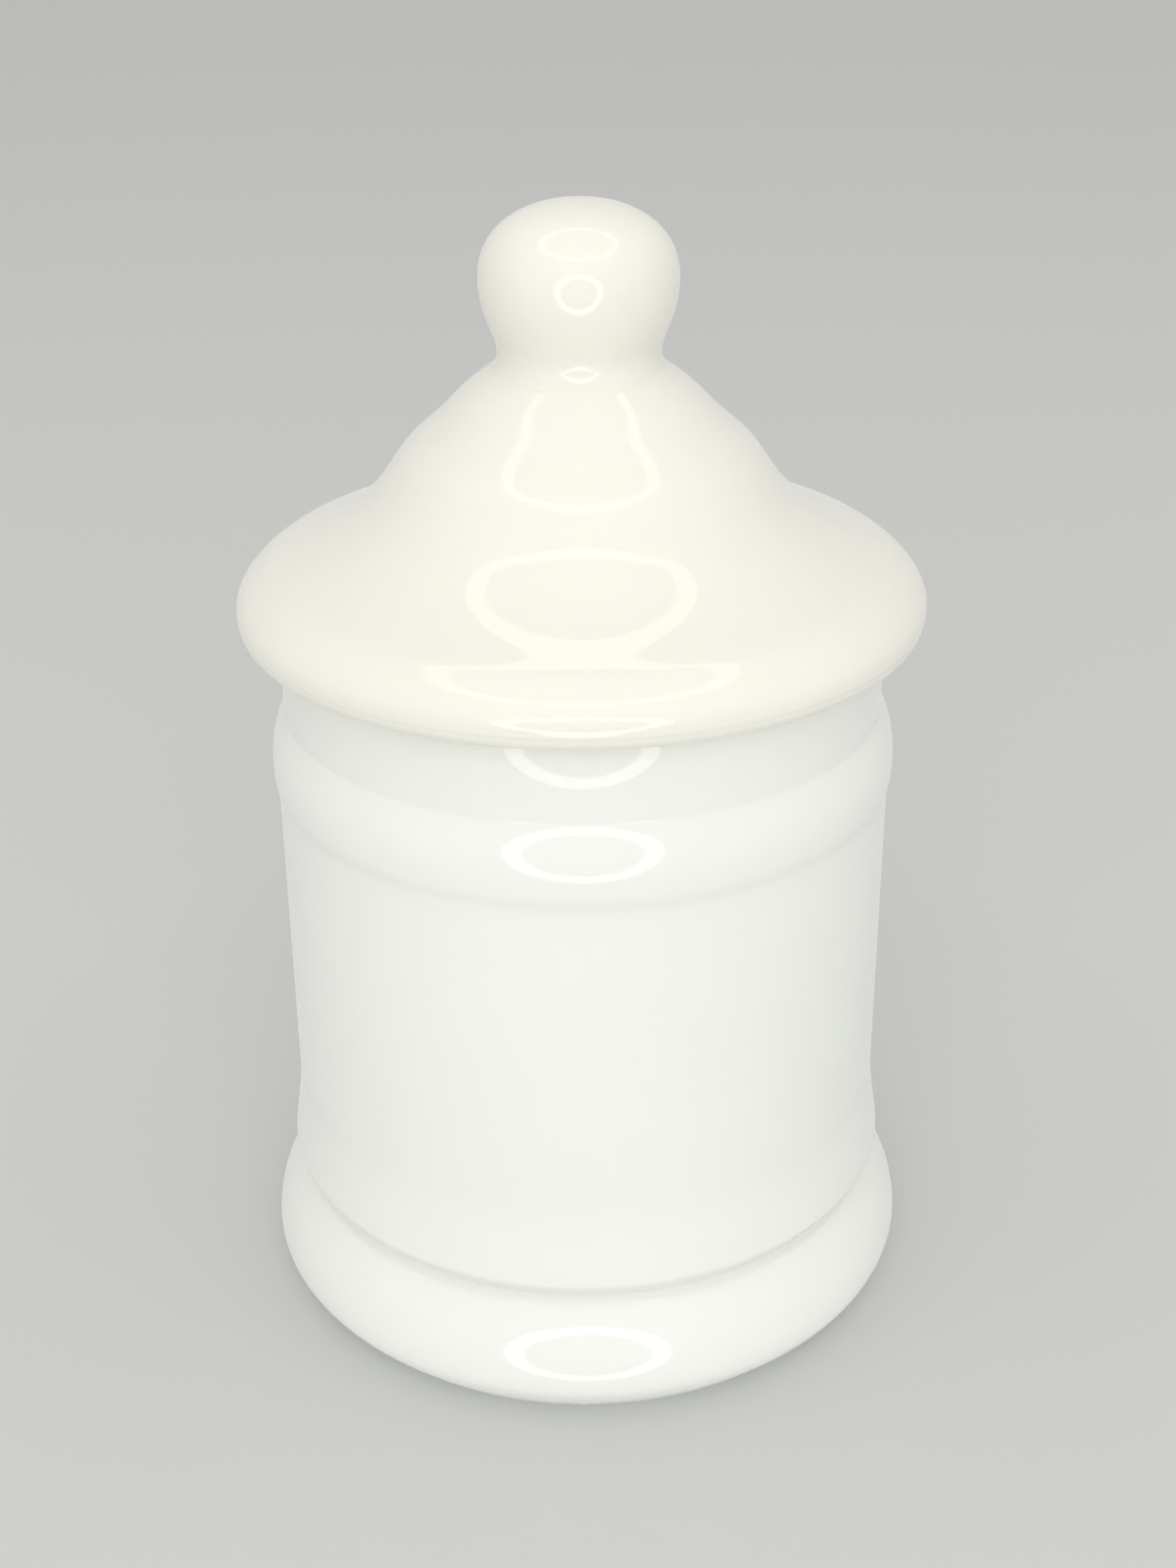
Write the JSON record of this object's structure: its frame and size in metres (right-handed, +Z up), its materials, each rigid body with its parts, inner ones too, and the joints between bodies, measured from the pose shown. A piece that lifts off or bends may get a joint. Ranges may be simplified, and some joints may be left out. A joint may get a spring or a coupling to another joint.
{
  "type": "lidded apothecary jar",
  "caption": "Footed cylindrical jar of white opal glass with a domed, ball-knobbed lid whose plug seals in the mouth and lifts off.",
  "frame": {"origin": "centre of the foot's resting ring, on the table", "axes": "+Z up along the jar's axis through the knob; every piece is turned about it, so X and Y may point anywhere"},
  "size_m": [0.0842, 0.084, 0.1397],
  "materials": {
    "jar_glass": "gloss",
    "lid_glass": "gloss",
    "seal_plastic": "satin"
  },
  "bodies": {
    "jar": {"jar": "jar_glass"},
    "seal": {"lid_seal": "seal_plastic"},
    "lid": {"lid": "lid_glass"}
  },
  "joints": [
    {"name": "lid_lift", "type": "slide", "parent": "jar", "child": "seal", "axis": [0, 0, 1], "range_m": [0, 0.06]},
    {"name": "lid_turn", "type": "hinge", "parent": "seal", "child": "lid", "pos_m": [0, 0, 0.0904], "axis": [0, 0, 1], "continuous": true}
  ]
}
